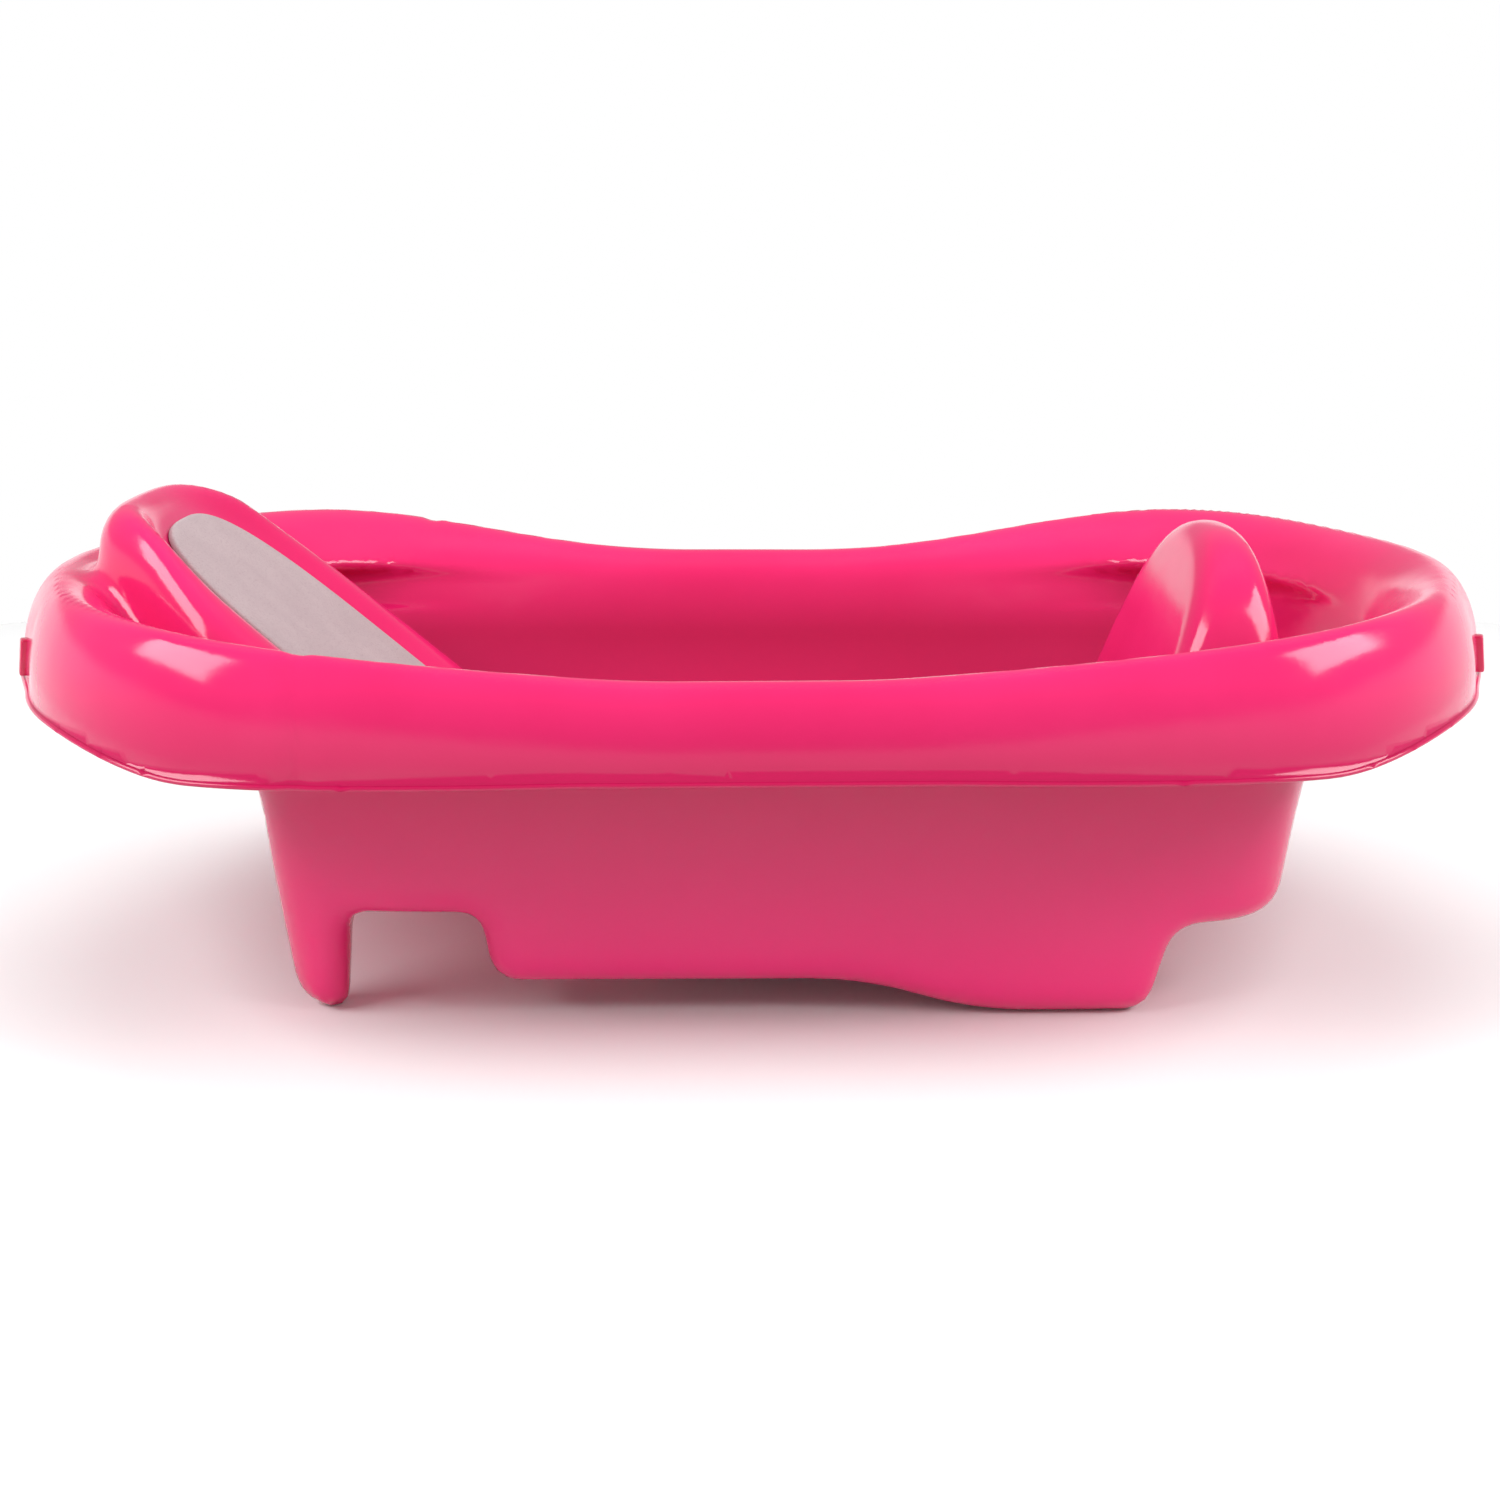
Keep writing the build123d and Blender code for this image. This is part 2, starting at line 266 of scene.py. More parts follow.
def infant_hump(x, y, z):
    ahead, above = x - FACE_TOP[0], z - FACE_TOP[1]
    face = ahead * math.sin(FACE_TILT) + above * math.cos(FACE_TILT)
    down = ahead * math.cos(FACE_TILT) - above * math.sin(FACE_TILT)
    along = np.abs(down - PAD_CENTRE) / PAD_HALF[0]
    across = np.abs(y) / PAD_HALF[1]
    edge = (along ** PAD_POWER + across ** PAD_POWER) ** (1 / PAD_POWER)
    border = BORDER + BORDER_HEAD * smooth(*BORDER_HEAD_SPAN, down)
    face = face - border * smooth(*BORDER_SPAN, edge)
    face = smax(face, z - INFANT_TOP + INFANT_CROWN * y * y, INFANT_EDGES[0])
    head = smooth(*INFANT_HEAD_SPAN, x) * smooth(*INFANT_HEAD_RISE, z)
    half = grows_down(INFANT_HALF, z) + INFANT_HEAD_WIDER * head
    side = oval_distance(x - INFANT_X, y, grows_down(INFANT_REACH, z), half, INFANT_POWERS)
    return smax(face, side, INFANT_EDGES[1])


def toddler_hump(x, y, z):
    ahead, above = x - SLAB_FRONT[0], z - SLAB_FRONT[1]
    front = -(ahead * math.cos(SLAB_LEAN) - above * math.sin(SLAB_LEAN))
    back = (x - SLAB_BACK[0]) * SLAB_BACK_NORMAL[0] + (z - SLAB_BACK[1]) * SLAB_BACK_NORMAL[1]
    slab = smax(front, back, TODDLER_EDGES[0])
    half = grows_down(SLAB_HALF, np.minimum(z, SLAB_HALF[2]))
    across = np.abs(y) / half
    up = np.maximum(z - ARCH_Z, 0) / ARCH_HEIGHT
    arch = ((across ** ARCH_POWER + up ** ARCH_POWER) ** (1 / ARCH_POWER) - 1) * ARCH_HEIGHT
    side = np.where(z > ARCH_Z, arch, np.abs(y) - half)
    return smax(slab, side, TODDLER_EDGES[1])


def tub_field(x, y, z):
    """Negative in the plastic, as if the tub were solid under its top skin."""
    shell = smax(rim_block(x, y, z), -bowl(x, y, z), RIM_FILLET)
    shell = smin(shell, floor_distance(x, z), FLOOR_FILLET)
    shell = smin(shell, infant_hump(x, y, z), INFANT_FILLET)
    shell = smin(shell, toddler_hump(x, y, z), TODDLER_FILLET)
    return shell


def field_normal(points, step=0.25):
    x, y, z = points.T
    return np.stack([
        tub_field(x + step, y, z) - tub_field(x - step, y, z),
        tub_field(x, y + step, z) - tub_field(x, y - step, z),
        tub_field(x, y, z + step) - tub_field(x, y, z - step),
    ], axis=1) / (2 * step)


# ------------------------------------------------------------------ surface to mesh
def grid_surface(low, high, pitch):
    """Quad mesh of the field's zero surface, one vertex to a crossed cell."""
    axes = [np.arange(a, b + pitch, pitch) for a, b in zip(low, high)]
    values = np.empty([len(a) for a in axes])
    for i, x in enumerate(axes[0]):
        yy, zz = np.meshgrid(axes[1], axes[2], indexing="ij")
        values[i] = tub_field(np.full(yy.shape, x), yy, zz)
    inside = values < 0
    corners = [(i, j, k) for i in (0, 1) for j in (0, 1) for k in (0, 1)]
    n = [s - 1 for s in values.shape]

    def corner(array, c):
        return array[c[0]:c[0] + n[0], c[1]:c[1] + n[1], c[2]:c[2] + n[2]]

    count = sum(corner(inside, c).astype(int) for c in corners)
    active = (count > 0) & (count < 8)
    total = np.zeros(tuple(n) + (3,))
    hits = np.zeros(tuple(n))
    for a in corners:
        for axis in range(3):
            if a[axis]:
                continue
            b = tuple(c + (1 if i == axis else 0) for i, c in enumerate(a))
            va, vb = corner(values, a), corner(values, b)
            cross = (va < 0) != (vb < 0)
            t = np.where(cross, va / np.where(cross, va - vb, 1.0), 0.0)
            for i in range(3):
                total[..., i] += np.where(cross, a[i] + (t if i == axis else 0.0), 0.0)
            hits += cross
    index = np.full(active.shape, -1)
    index[active] = np.arange(active.sum())
    cells = np.argwhere(active)
    local = total[active] / hits[active][:, None]
    origin = np.array([a[0] for a in axes])
    points = origin + (cells + local) * pitch
    faces = []
    for axis in range(3):
        b1, b2 = [i for i in range(3) if i != axis]
        if axis == 1:
            b1, b2 = b2, b1
        cut = [slice(None)] * 3
        cut[axis] = slice(0, n[axis])
        nxt = list(cut)
        nxt[axis] = slice(1, n[axis] + 1)
        lo, hi = inside[tuple(cut)], inside[tuple(nxt)]
        where = np.argwhere(lo != hi)
        ok = (where[:, b1] > 0) & (where[:, b2] > 0)
        ok &= (where[:, b1] < n[b1]) & (where[:, b2] < n[b2])
        where = where[ok]
        out = lo[tuple(where.T)]
        ring = []
        for d1, d2 in ((-1, -1), (0, -1), (0, 0), (-1, 0)):
            c = where.copy()
            c[:, b1] += d1
            c[:, b2] += d2
            ring.append(index[tuple(c.T)])
        quad = np.stack(ring, axis=1)
        quad[~out] = quad[~out][:, ::-1]
        faces.append(quad)
    return points, np.concatenate(faces)


def edge_pairs(faces):
    pairs = np.concatenate([faces[:, [i, (i + 1) % 4]] for i in range(4)])
    return np.unique(np.sort(pairs, axis=1), axis=0)


def project(points, turns=3):
    """Move vertices along the field's slope until they lie on the surface."""
    for _ in range(turns):
        g = field_normal(points)
        f = tub_field(*points.T)
        size = np.maximum((g * g).sum(1), 0.05)
        move = g * (f / size)[:, None]
        length = np.linalg.norm(move, axis=1)
        move *= np.minimum(1.0, 2.0 / np.maximum(length, 1e-9))[:, None]
        points = points - move
    return points


def relax(points, faces, turns):
    """Even out the quads while keeping every vertex on the surface."""
    pairs = edge_pairs(faces)
    degree = np.bincount(pairs.ravel(), minlength=len(points))[:, None]
    for _ in range(turns):
        total = np.zeros_like(points)
        np.add.at(total, pairs[:, 0], points[pairs[:, 1]])
        np.add.at(total, pairs[:, 1], points[pairs[:, 0]])
        shift = (total / np.maximum(degree, 1) - points) * 0.6
        g = field_normal(points)
        g /= np.maximum(np.linalg.norm(g, axis=1), 1e-9)[:, None]
        shift -= g * (shift * g).sum(1)[:, None]
        points = project(points + shift, 1)
    return points


def clip(points, faces, level):
    """Keep the part of the mesh where level >= 0; cut faces become polygons."""
    points = list(map(tuple, points))
    level = list(level)
    made = {}
    kept = []
    for face in faces:
        signs = [level[v] >= 0 for v in face]
        if all(signs):
            kept.append(list(face))
            continue
        if not any(signs):
            continue
        polygon = []
        for i, a in enumerate(face):
            b = face[(i + 1) % len(face)]
            if signs[i]:
                polygon.append(a)
            if signs[i] != signs[(i + 1) % len(face)]:
                key = (min(a, b), max(a, b))
                if key not in made:
                    t = level[key[0]] / (level[key[0]] - level[key[1]])
                    p, q = points[key[0]], points[key[1]]
                    made[key] = len(points)
                    points.append(tuple(u + (w - u) * t for u, w in zip(p, q)))
                    level.append(0.0)
                polygon.append(made[key])
        if len(polygon) > 2:
            kept.append(polygon)
    used = sorted({v for face in kept for v in face})
    renumber = {v: i for i, v in enumerate(used)}
    kept = [[renumber[v] for v in face] for face in kept]
    return np.array([points[v] for v in used]), kept


def boundary_loops(faces):
    """Open edges of the mesh as closed loops of vertex numbers."""
    seen = {}
    for face in faces:
        for i, a in enumerate(face):
            b = face[(i + 1) % len(face)]
            if (b, a) in seen:
                del seen[(b, a)]
            else:
                seen[(a, b)] = True
    follow = {a: b for a, b in seen}
    loops = []
    while follow:
        start = next(iter(follow))
        loop = [start]
        here = follow.pop(start)
        while here != start and here in follow:
            loop.append(here)
            here = follow.pop(here)
        loops.append(loop)
    return loops


# ------------------------------------------------------------------ build the tub
def new_object(name, points, faces):
    mesh = bpy.data.meshes.new(name)
    mesh.from_pydata([tuple(p) for p in points], [], [tuple(f) for f in faces])
    mesh.validate(verbose=False)
    obj = bpy.data.objects.new(name, mesh)
    bpy.context.scene.collection.objects.link(obj)
    for polygon in mesh.polygons:
        polygon.use_smooth = True
    return obj


GRID = 4.1                # cells of the grid that finds the surface
GRID_LOW = (-372, -252, -8)
GRID_HIGH = (372, 252, 238)
RELAX_TURNS = 6
DRAIN = (122.0, 0.0)
DRAIN_CUT = 24.0          # the floor is cut open to this radius and the collar fills the rest
DRAIN_Z = 30.0            # the floor round the drain lies below this
SPLIT_Z = 60.0            # the drain's open edge lies below this and the lip's above
SMALLEST_LOOP = 20        # shorter open loops are pinholes, not edges
SNAP = 1.5                # vertices this near a cut are moved onto it
COLLAR_TOP = [(23.0, 3.0), (20.2, 3.1), (19.2, 3.6), (18.8, 5.0), (18.2, 5.8), (17.0, 6.0),
              (14.6, 6.0), (13.4, 5.7), (13.0, 5.0)]
COLLAR_UNDER = [(13.0, 0.6), (13.4, 0.1), (14.2, 0.0), (20.0, 0.0), (23.0, 0.0)]
BEAD = [(0.5, 0.1), (1.2, -0.2), (1.7, -0.8), (1.8, -1.4), (1.4, -2.0), (0.6, -2.3), (-0.9, -2.2),
        (-2.2, -1.3)]


def settle_lip(lip):
    """Bring the lip's vertices onto the rim's exact edge line."""
    step = 0.2
    for _ in range(4):
        x, y = lip[:, 0], lip[:, 1]
        z = lip_height(x)
        slope_x = rim_block(x + step, y, z) - rim_block(x - step, y, z)
        slope_y = rim_block(x, y + step, z) - rim_block(x, y - step, z)
        pull = 2 * step * rim_block(x, y, z) / (slope_x ** 2 + slope_y ** 2)
        lip = np.stack([x - slope_x * pull, y - slope_y * pull, z], axis=1)
    lip[:, 2] = lip_height(lip[:, 0])
    return lip


points, faces = grid_surface(GRID_LOW, GRID_HIGH, GRID)
points = relax(project(points), faces, RELAX_TURNS)
for _ in range(2):
    x, y, z = points.T
    close = (crest_plan(x, y) > 0) & (np.abs(z - lip_height(x)) < SNAP)
    points[close] = project(points[close], 2)
    points[close, 2] = lip_height(points[close, 0])
x, y, z = points.T
level = np.where(crest_plan(x, y) > 0, np.where(close, 0.0, z - lip_height(x)), 10.0)
points, faces = clip(points, faces.tolist(), level)

offset = points[:, :2] - DRAIN
radius = np.linalg.norm(offset, axis=1)
in_floor = points[:, 2] < DRAIN_Z
close = in_floor & (np.abs(radius - DRAIN_CUT) < SNAP)
points[close, :2] = offset[close] * (DRAIN_CUT / radius[close])[:, None] + DRAIN
level = np.where(in_floor, np.where(close, 0.0, radius - DRAIN_CUT), 10.0)
points, faces = clip(points, faces, level)
points = project(points)

loops = [loop for loop in boundary_loops(faces) if len(loop) >= SMALLEST_LOOP]
for loop in loops:
    if points[loop[0]][2] > SPLIT_Z:
        points[loop] = settle_lip(points[loop])
normals = field_normal(points)
normals /= np.linalg.norm(normals, axis=1)[:, None]
count = len(points)
under = points - normals * WALL
verts = [tuple(p) for p in points] + [tuple(p) for p in under]
polys = [tuple(f) for f in faces] + [tuple(v + count for v in reversed(f)) for f in faces]

# a rounded bead joins the two skins at the lip, and a collar joins them at the drain
for loop in loops:
    rings = [loop]
    if points[loop[0]][2] > SPLIT_Z:
        for out, up in BEAD:
            start = len(verts)
            for v in loop:
                n = normals[v] * np.array([1, 1, 0])
                n /= np.linalg.norm(n)
                verts.append(tuple(points[v] + n * out + np.array([0, 0, up])))
            rings.append(list(range(start, start + len(loop))))
    else:
        angles = [math.atan2(points[v][1] - DRAIN[1], points[v][0] - DRAIN[0]) for v in loop]
        for radius, height in COLLAR_TOP + COLLAR_UNDER:
            start = len(verts)
            for a in angles:
                verts.append((DRAIN[0] + radius * math.cos(a), DRAIN[1] + radius * math.sin(a),
                              height))
            rings.append(list(range(start, start + len(loop))))
    rings.append([v + count for v in loop])
    for ring, nxt in zip(rings, rings[1:]):
        for i in range(len(loop)):
            j = (i + 1) % len(loop)
            polys.append((ring[j], ring[i], nxt[i], nxt[j]))

tub = new_object("tub_moulding", np.array(verts) * MM, polys)
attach(tub, "tub")
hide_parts("tub_shell")


# ------------------------------------------------------------------ six hooks on the rim's ends
HOOK = (9.0, 17.0, 3.2)   # width, height, how proud of the lip
HOOK_ROOT = 5.0           # how deep it starts inside the rim
HOOK_TAPER = 0.55
HOOK_EDGE = 0.9
HOOK_ROWS = (-75.0, 0.0, 75.0)
HOOK_FOOT = 1.5           # above the lip


def lip_reach(y):
    """How far along the tub the rim's lip lies at this distance from the centre line."""
    low, high = 150.0, 420.0    # brackets the lip, and is halved until it is exact
    for _ in range(40):
        x = (low + high) / 2
        if crest_plan(x, y) < rim_width(x, y):
            low = x
        else:
            high = x
    return low


def add_box(mesh, corners):
    verts = [mesh.verts.new(c) for c in corners]
    for quad in ((0, 3, 2, 1), (4, 5, 6, 7), (0, 1, 5, 4), (1, 2, 6, 5), (2, 3, 7, 6), (3, 0, 4, 7)):
        mesh.faces.new([verts[i] for i in quad])


hooks_mesh = bmesh.new()
for end in (-1, 1):
    for row in HOOK_ROWS:
        reach = lip_reach(row)
        ahead = lip_reach(row + 4) - lip_reach(row - 4)
        outward = Vector((8, -ahead, 0)).normalized()
        across = Vector((-outward.y, outward.x, 0))
        foot = Vector((reach, row, float(lip_height(reach)) + HOOK_FOOT))
        corners = []
        for up, proud in ((0, HOOK[2]), (HOOK[1], HOOK[2] * HOOK_TAPER)):
            for side, deep in ((-1, -HOOK_ROOT), (1, -HOOK_ROOT), (1, proud), (-1, proud)):
                p = foot + across * (side * HOOK[0] / 2) + outward * deep + Vector((0, 0, up))
                corners.append((end * p.x * MM, end * p.y * MM, p.z * MM))
        add_box(hooks_mesh, corners)
bmesh.ops.recalc_face_normals(hooks_mesh, faces=hooks_mesh.faces)
bmesh.ops.bevel(hooks_mesh, geom=hooks_mesh.edges[:], offset=HOOK_EDGE * MM, segments=3,
                profile=0.5, affect="EDGES")
hooks_data = bpy.data.meshes.new("rim_hooks")
hooks_mesh.to_mesh(hooks_data)
for polygon in hooks_data.polygons:
    polygon.use_smooth = True
hooks = bpy.data.objects.new("rim_hooks", hooks_data)
bpy.context.scene.collection.objects.link(hooks)
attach(hooks, "tub")

# ------------------------------------------------------------------ backrest pad
PAD_LOW = 0.3             # the foam's two faces, above the backrest's face
PAD_HIGH = 4.3
PAD_STEPS = 160
PAD_EASED = 2.2           # the crown starts this far in from the outline
SWELL = 0.18              # the foam isn't quite flat
# inset and height of each ring round the foam's eased edge
EDGE_RINGS = [(0.9, 0.0), (0.25, 0.25), (0.0, 0.9), (0.0, 2.6), (0.3, 3.3), (1.0, 3.8),
              (PAD_EASED, 4.0)]
CROWN_RINGS = 26


def pad_point(angle, inset, height, spread=1.0):
    c, s = math.cos(angle), math.sin(angle)
    power = 2 / PAD_POWER
    along = (PAD_HALF[0] - inset) * math.copysign(abs(c) ** power, c) * spread
    side = (PAD_HALF[1] - inset) * math.copysign(abs(s) ** power, s) * spread
    swell = SWELL * math.sin(along / 31 + 0.6) * math.cos(side / 23)
    down = PAD_CENTRE + along
    lift = height + (swell * min(1.0, (1 - spread) * 6) if height > PAD_HIGH - 0.4 else 0.0)
    return (FACE_TOP[0] + down * math.cos(FACE_TILT) + lift * math.sin(FACE_TILT), side,
            FACE_TOP[1] - down * math.sin(FACE_TILT) + lift * math.cos(FACE_TILT))


pad_rings = [(inset, PAD_LOW + up, 1.0) for inset, up in EDGE_RINGS]
for i in range(1, CROWN_RINGS):
    pad_rings.append((PAD_EASED, PAD_HIGH, 1 - i / CROWN_RINGS))
pad_verts = [pad_point(math.tau * i / PAD_STEPS, *ring) for ring in pad_rings
             for i in range(PAD_STEPS)]
pad_faces = []
for ring in range(len(pad_rings) - 1):
    for i in range(PAD_STEPS):
        j = (i + 1) % PAD_STEPS
        a, b = ring * PAD_STEPS, (ring + 1) * PAD_STEPS
        pad_faces.append((a + i, a + j, b + j, b + i))
last = (len(pad_rings) - 1) * PAD_STEPS
middle = len(pad_verts)
pad_verts.append(pad_point(0.0, PAD_EASED, PAD_HIGH, 0.0))
pad_verts.append(pad_point(0.0, EDGE_RINGS[0][0], PAD_LOW, 0.0))
for i in range(PAD_STEPS):
    j = (i + 1) % PAD_STEPS
    pad_faces.append((last + i, last + j, middle))
    pad_faces.append((j, i, middle + 1))
pad = new_object("foam_pad", np.array(pad_verts) * MM, pad_faces)
subdivision = pad.modifiers.new("even", "SUBSURF")
subdivision.levels = 1
subdivision.render_levels = 1
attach(pad, "tub")
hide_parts("backrest_pad")

# ------------------------------------------------------------------ drain plug
PLUG_PROFILE = [(11.9, 0.8), (12.5, 1.1), (12.7, 1.8), (12.7, 5.4), (12.9, 6.0),
                (13.6, 6.2), (17.1, 6.2), (17.8, 6.5), (18.0, 7.2), (17.9, 8.0), (17.3, 8.5),
                (16.2, 8.6), (13.2, 8.5), (12.6, 8.1), (11.8, 8.1), (11.2, 8.5), (6.0, 8.6)]
PLUG_STEPS = 72
TAB = (10.0, 7.75)            # half width and half height round the eye
TAB_MID = 15.85
TAB_HALF_THICK = 1.6
TAB_ROUND = (0.62, 0.35)      # the outline's power above and below the eye
EYE = 3.6
# for each ring round the tab's section: 1 outside or 0 in the eye, inset, and depth
TAB_RINGS = [(1, 0.0, -0.55), (1, 0.0, 0.55), (1, 0.5, 0.9), (1, 1.2, 1.0), (0, 1.2, 1.0),
             (0, 0.5, 0.9), (0, 0.0, 0.55), (0, 0.0, -0.55), (0, 0.5, -0.9),
             (0, 1.2, -1.0), (1, 1.2, -1.0), (1, 0.5, -0.9)]

plug_verts = []
for radius, height in PLUG_PROFILE:
    for i in range(PLUG_STEPS):
        a = math.tau * i / PLUG_STEPS
        plug_verts.append((DRAIN[0] + radius * math.cos(a), DRAIN[1] + radius * math.sin(a), height))
plug_faces = []
for ring in range(len(PLUG_PROFILE) - 1):
    for i in range(PLUG_STEPS):
        j = (i + 1) % PLUG_STEPS
        a, b = ring * PLUG_STEPS, (ring + 1) * PLUG_STEPS
        plug_faces.append((a + i, a + j, b + j, b + i))
plug_faces.append(tuple(range(PLUG_STEPS))[::-1])
top_ring = (len(PLUG_PROFILE) - 1) * PLUG_STEPS
plug_faces.append(tuple(range(top_ring, top_ring + PLUG_STEPS)))

start = len(plug_verts)
for outer, inset, deep in TAB_RINGS:
    for i in range(PLUG_STEPS):
        a = math.tau * i / PLUG_STEPS
        c, s = math.cos(a), math.sin(a)
        if outer:
            power = TAB_ROUND[0] if s > 0 else TAB_ROUND[1]
            side = (TAB[0] - inset) * math.copysign(abs(c) ** power, c)
            up = (TAB[1] - inset) * math.copysign(abs(s) ** power, s)
        else:
            side, up = (EYE + inset) * c, (EYE + inset) * s
        plug_verts.append((DRAIN[0] + deep * TAB_HALF_THICK, DRAIN[1] + side, TAB_MID + up))
for ring in range(len(TAB_RINGS)):
    for i in range(PLUG_STEPS):
        j = (i + 1) % PLUG_STEPS
        a = start + ring * PLUG_STEPS
        b = start + (ring + 1) % len(TAB_RINGS) * PLUG_STEPS
        plug_faces.append((a + i, b + i, b + j, a + j))
plug = new_object("drain_stopper", np.array(plug_verts) * MM, plug_faces)
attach(plug, "plug")
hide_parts("drain_plug")


# ------------------------------------------------------------------ materials
MIX_INPUTS = (6, 7)       # the colour sockets of a Mix node
MIX_RESULT = 2


class Recipe:
    """A Principled material with short ways to add noise, colour change and bump."""

    def __init__(self, name, **sockets):
        self.material = bpy.data.materials.new(name)
        self.material.use_nodes = True
        self.nodes = self.material.node_tree.nodes
        self.links = self.material.node_tree.links
        self.shader = self.nodes["Principled BSDF"]
        for socket, value in sockets.items():
            label = socket.replace("_", " ")
            self.shader.inputs[label].default_value = value
        self.place = self.nodes.new("ShaderNodeTexCoord").outputs["Object"]

    def noise(self, scale, detail=3.0, stretch=(1, 1, 1), rough=0.5):
        mapping = self.nodes.new("ShaderNodeMapping")
        mapping.inputs["Scale"].default_value = stretch
        self.links.new(self.place, mapping.inputs["Vector"])
        node = self.nodes.new("ShaderNodeTexNoise")
        node.inputs["Scale"].default_value = scale
        node.inputs["Detail"].default_value = detail
        node.inputs["Roughness"].default_value = rough
        self.links.new(mapping.outputs["Vector"], node.inputs["Vector"])
        return node.outputs["Fac"]

    def ramp(self, source, low, high, start, end):
        """Map source from low..high to start..end."""
        node = self.nodes.new("ShaderNodeMapRange")
        for label, value in (("From Min", low), ("From Max", high), ("To Min", start), ("To Max", end)):
            node.inputs[label].default_value = value
        self.links.new(source, node.inputs["Value"])
        return node.outputs["Result"]

    def blend(self, source, first, second):
        """Colour from first to second as source goes from 0 to 1."""
        node = self.nodes.new("ShaderNodeMix")
        node.data_type = "RGBA"
        self.links.new(source, node.inputs["Factor"])
        for index, value in zip(MIX_INPUTS, (first, second)):
            if isinstance(value, tuple):
                node.inputs[index].default_value = (*value, 1)
            else:
                self.links.new(value, node.inputs[index])
        return node.outputs[MIX_RESULT]

    def bump(self, height, distance, strength=1.0, under=None):
        node = self.nodes.new("ShaderNodeBump")
        node.inputs["Distance"].default_value = distance
        node.inputs["Strength"].default_value = strength
        self.links.new(height, node.inputs["Height"])
        if under:
            self.links.new(under, node.inputs["Normal"])
        return node.outputs["Normal"]

    def math(self, operation, *sources):
        node = self.nodes.new("ShaderNodeMath")
        node.operation = operation
        for source, socket in zip(sources, node.inputs):
            self.links.new(source, socket)
        return node.outputs[0]

    def feed(self, label, source):
        self.links.new(source, self.shader.inputs[label])

    def wear(self, obj):
        obj.data.materials.clear()
        obj.data.materials.append(self.material)


PAINTED_LIGHT_FOOT = (0.76, 0.022, 0.165)      # painted light and shade on the lower body: lighter towards its foot, darker under the rim
PAINTED_SHADE_UNDER_RIM = (0.38, 0.003, 0.055)
PAINTED_FALL_SPAN = (0.01, 0.12)              # metres above the floor
PAINTED_SHADE_END_SPAN = (0.125, 0.170)             # the painted shade gives way to the rim's own pink over this height
PAINTED_SHADE_WALL_SPAN = (0.132, 0.150)            # metres from the centre line: only the walls get the painted light and shade


def moulded_pink(name, light, deep, roughness, scuff):
    """Glossy dyed plastic: cloudy dye, painted shade under the rim and painted light towards the foot
    of the walls, faint flow waves, orange peel and hairline scuffs.
    """
    recipe = Recipe(name, Specular_IOR_Level=0.5, IOR=1.49)
    cloud = recipe.ramp(recipe.noise(9.0, 4.0), 0.32, 0.68, 0.0, 1.0)
    height = recipe.nodes.new("ShaderNodeSeparateXYZ")
    recipe.links.new(recipe.place, height.inputs["Vector"])
    # painted light and shade by height: lighter at the foot, darker under the rim's overhang
    foot = recipe.ramp(height.outputs["Z"], *PAINTED_FALL_SPAN, 0.0, 1.0)
    body = recipe.blend(foot, PAINTED_LIGHT_FOOT, PAINTED_SHADE_UNDER_RIM)
    above = recipe.ramp(height.outputs["Z"], *PAINTED_SHADE_END_SPAN, 0.0, 1.0)
    span = recipe.math("ABSOLUTE", height.outputs["Y"])
    unpainted_inside = recipe.ramp(span, *PAINTED_SHADE_WALL_SPAN, 1.0, 0.0)
    no_painted_shade = recipe.math("MAXIMUM", above, unpainted_inside)
    # the walls below the rim get the painted light and shade; the rim and the inside keep the cloudy
    # pink
    recipe.feed("Base Color", recipe.blend(no_painted_shade, body, recipe.blend(cloud, light, deep)))
    smear = recipe.ramp(recipe.noise(26.0, 5.0, (1, 1, 2.4)), 0.35, 0.7, roughness, roughness + 0.08)
    lines = recipe.ramp(recipe.noise(260.0, 2.0, (0.12, 1, 1)), 0.64, 0.72, 0.0, scuff)
    recipe.feed("Roughness", recipe.math("ADD", smear, lines))
    waves = recipe.bump(recipe.noise(14.0, 2.0), 0.004, 0.16)
    peel = recipe.bump(recipe.noise(520.0, 1.0), 0.0002, 0.10, waves)
    recipe.feed("Normal", peel)
    return recipe


moulded_pink("tub_pink", (0.67, 0.017, 0.130), (0.62, 0.012, 0.110), 0.11, 0.03).wear(tub)
# the hooks wear a darker copy of the tub's pink: painted shade on their faces
moulded_pink("hook_pink_painted_shade", (0.52, 0.006, 0.070), (0.47, 0.005, 0.060), 0.20, 0.03).wear(hooks)

foam = Recipe("pad_foam_grain", Specular_IOR_Level=0.3, Sheen_Weight=0.12, Sheen_Roughness=0.5)
grain = foam.noise(900.0, 3.0, rough=0.7)
blotch = foam.ramp(foam.noise(38.0, 4.0), 0.3, 0.7, 0.0, 1.0)
tone = foam.blend(blotch, (0.36, 0.285, 0.295), (0.40, 0.32, 0.33))
pores = foam.ramp(grain, 0.30, 0.48, 1.0, 0.0)
foam.feed("Base Color", foam.blend(pores, tone, (0.27, 0.20, 0.21)))
foam.feed("Roughness", foam.ramp(grain, 0.3, 0.7, 0.78, 0.94))
foam.feed("Normal", foam.bump(grain, 0.0006, 0.55))
foam.wear(pad)

film = Recipe("bonding_film", Specular_IOR_Level=0.45)
streak = film.noise(120.0, 3.0, (0.2, 1, 1))
film.feed("Base Color", film.blend(streak, (0.42, 0.40, 0.37), (0.36, 0.34, 0.31)))
film.feed("Roughness", film.ramp(streak, 0.3, 0.7, 0.35, 0.55))
film.feed("Normal", film.bump(streak, 0.0003, 0.3))
film.wear(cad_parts["pad_film"])

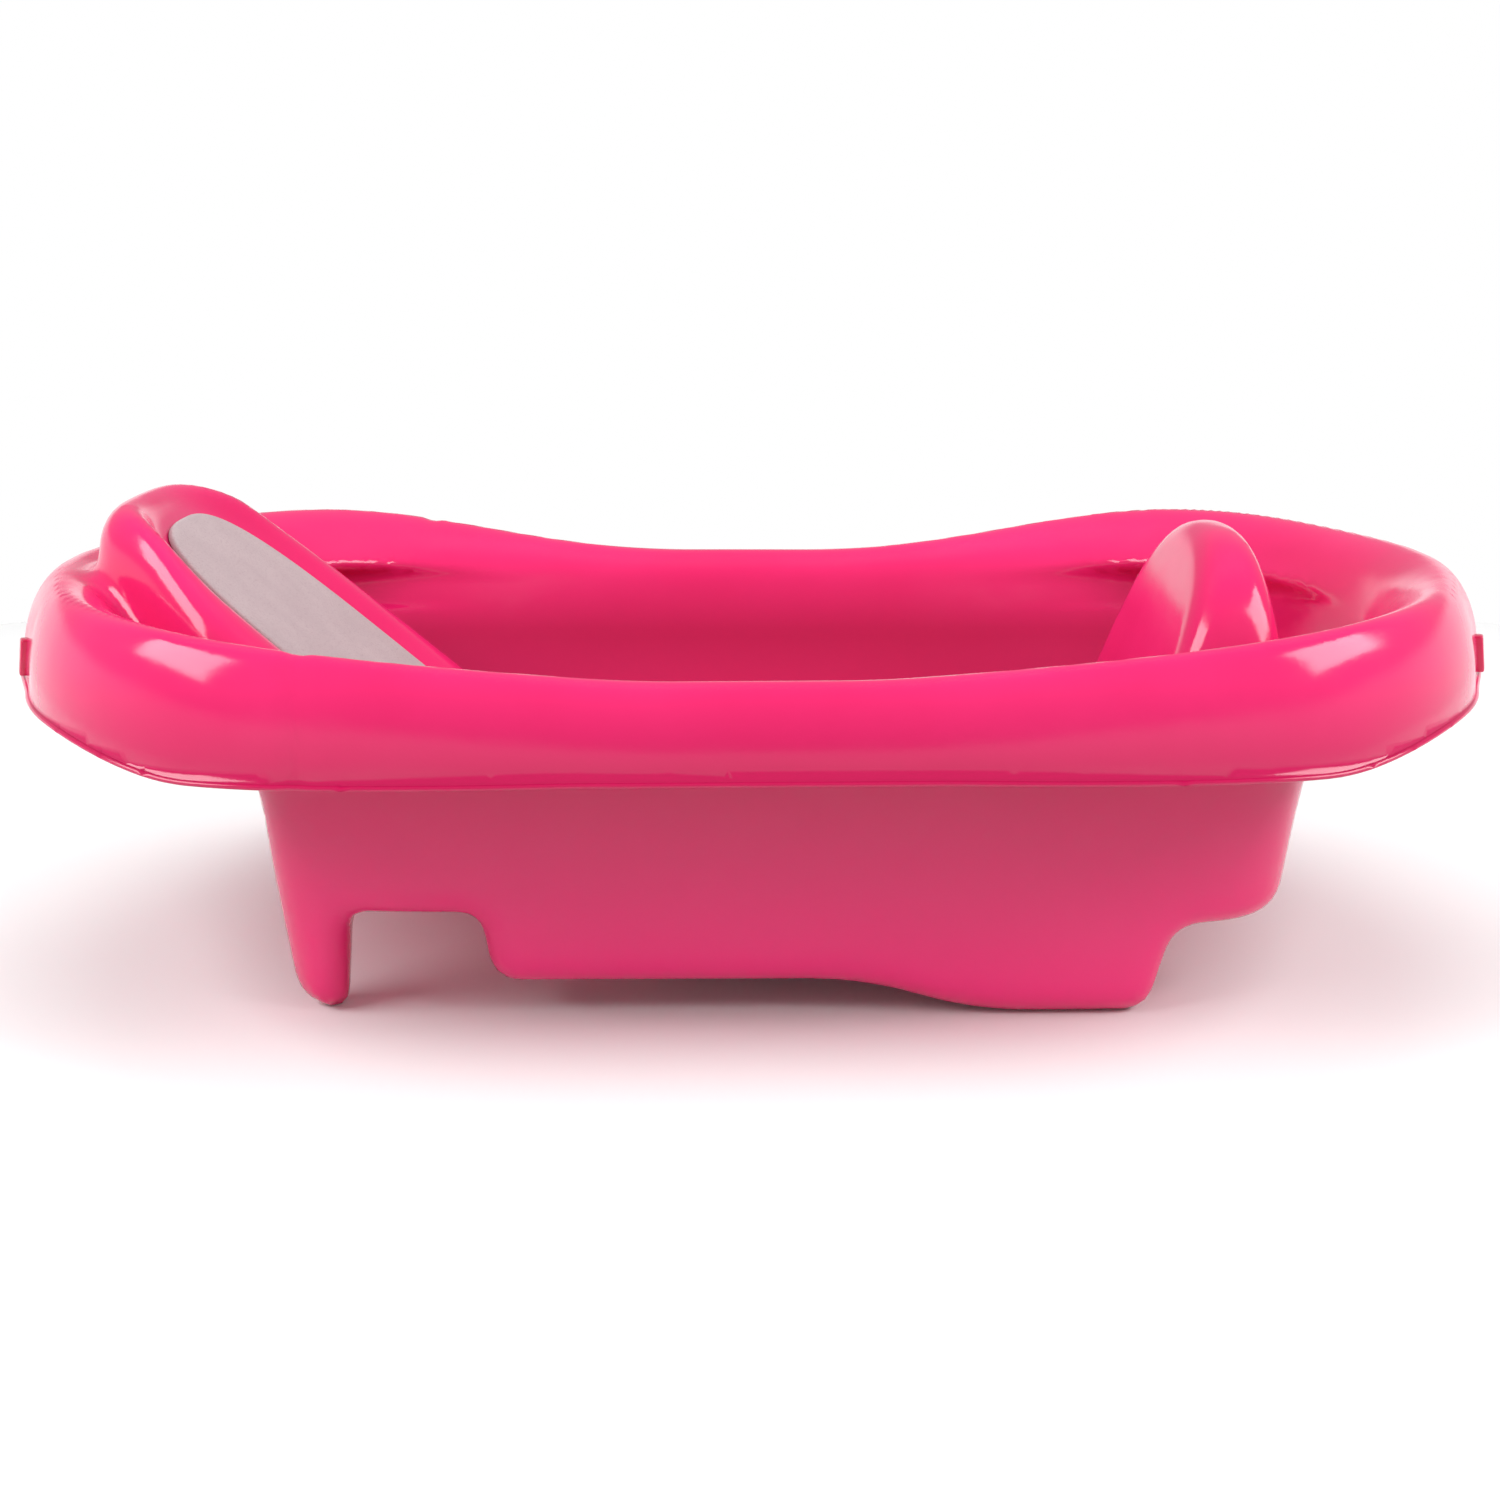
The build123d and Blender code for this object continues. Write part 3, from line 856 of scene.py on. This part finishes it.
rubber = Recipe("plug_rubber_satin", Specular_IOR_Level=0.4, Sheen_Weight=0.08)
skin = rubber.noise(700.0, 3.0)
dust = rubber.ramp(rubber.noise(60.0, 4.0), 0.4, 0.7, 0.0, 1.0)
rubber.feed("Base Color", rubber.blend(dust, (0.54, 0.009, 0.075), (0.60, 0.020, 0.10)))
rubber.feed("Roughness", rubber.ramp(skin, 0.3, 0.7, 0.42, 0.58))
rubber.feed("Normal", rubber.bump(skin, 0.0003, 0.3))
rubber.wear(plug)

# ------------------------------------------------------------------ stage, light, camera
FLOOR_REACH = 1.15       # metres; beyond the round floor the studio is white
FLOOR_SIDES = 96
DOME = 0.35              # the studio is white at the horizon and dimmer overhead
DOME_SPAN = (0.11, 0.20)
floor_angles = [math.tau * i / FLOOR_SIDES for i in range(FLOOR_SIDES)]
floor_edge = [(FLOOR_REACH * math.cos(a), FLOOR_REACH * math.sin(a), 0) for a in floor_angles]
floor_mesh = bpy.data.meshes.new("floor")
floor_mesh.from_pydata(floor_edge, [], [tuple(range(FLOOR_SIDES))])
floor_obj = bpy.data.objects.new("floor", floor_mesh)
bpy.context.scene.collection.objects.link(floor_obj)
pale = Recipe("pale_floor", Roughness=0.7, Base_Color=(0.82, 0.82, 0.82, 1))
floor_mesh.materials.append(pale.material)

world = bpy.data.worlds.new("studio")
bpy.context.scene.world = world
bpy.context.scene.view_settings.view_transform = "Standard"
world.use_nodes = True
sky = world.node_tree
aim = sky.nodes.new("ShaderNodeTexCoord")
split = sky.nodes.new("ShaderNodeSeparateXYZ")
sky.links.new(aim.outputs["Generated"], split.inputs["Vector"])
fall = sky.nodes.new("ShaderNodeMapRange")
for label, value in zip(("From Min", "From Max", "To Min", "To Max"), (*DOME_SPAN, 1.0, DOME)):
    fall.inputs[label].default_value = value
sky.links.new(split.outputs["Z"], fall.inputs["Value"])
sky.links.new(fall.outputs["Result"], sky.nodes["Background"].inputs["Strength"])
sky.nodes["Background"].inputs["Color"].default_value = (1, 1, 1, 1)


def area_light(name, place, target, size, power):
    data = bpy.data.lights.new(name, "AREA")
    data.shape = "RECTANGLE"
    data.size, data.size_y = size
    data.energy = power
    obj = bpy.data.objects.new(name, data)
    obj.location = place
    direction = Vector(target) - Vector(place)
    obj.rotation_euler = direction.to_track_quat("-Z", "Y").to_euler()
    bpy.context.scene.collection.objects.link(obj)
    return obj


area_light("left_box", (-1.45, -0.75, 1.4), (-0.2, 0, 0.14), (1.5, 1.1), 38)
area_light("right_box", (1.5, -0.7, 1.4), (0.2, 0, 0.14), (1.5, 1.1), 38)
overhead = area_light("top_box", (0, 0.5, 1.7), (0, 0, 0.1), (1.8, 0.8), 16)
front = area_light("front_box", (0, -1.7, 0.3), (0, 0, 0.06), (1.6, 0.4), 3)
for fill in (overhead, front):
    fill.visible_glossy = False      # these fill shadows without a highlight of their own

PITCH = math.radians(9.47)
YAW = math.radians(0.8)
DISTANCE = 1.151
TARGET = Vector((-0.0013, 0, 0.158))
SENSOR = 36
VIEW_WIDTH = 0.753769    # metres across the view at the target
VIEW_SHIFT = -13 / 150   # of the view's width; it frames the tub without turning the camera
back = Vector((-math.sin(YAW) * math.cos(PITCH), -math.cos(YAW) * math.cos(PITCH), math.sin(PITCH)))
camera_data = bpy.data.cameras.new("camera")
camera_data.sensor_width = SENSOR
camera_data.lens = SENSOR * DISTANCE / VIEW_WIDTH
camera_data.shift_y = VIEW_SHIFT
camera_data.clip_start = 0.01
camera = bpy.data.objects.new("camera", camera_data)
camera.location = TARGET + back * DISTANCE
camera.rotation_euler = (-back).to_track_quat("-Z", "Y").to_euler()
bpy.context.scene.collection.objects.link(camera)
bpy.context.scene.camera = camera
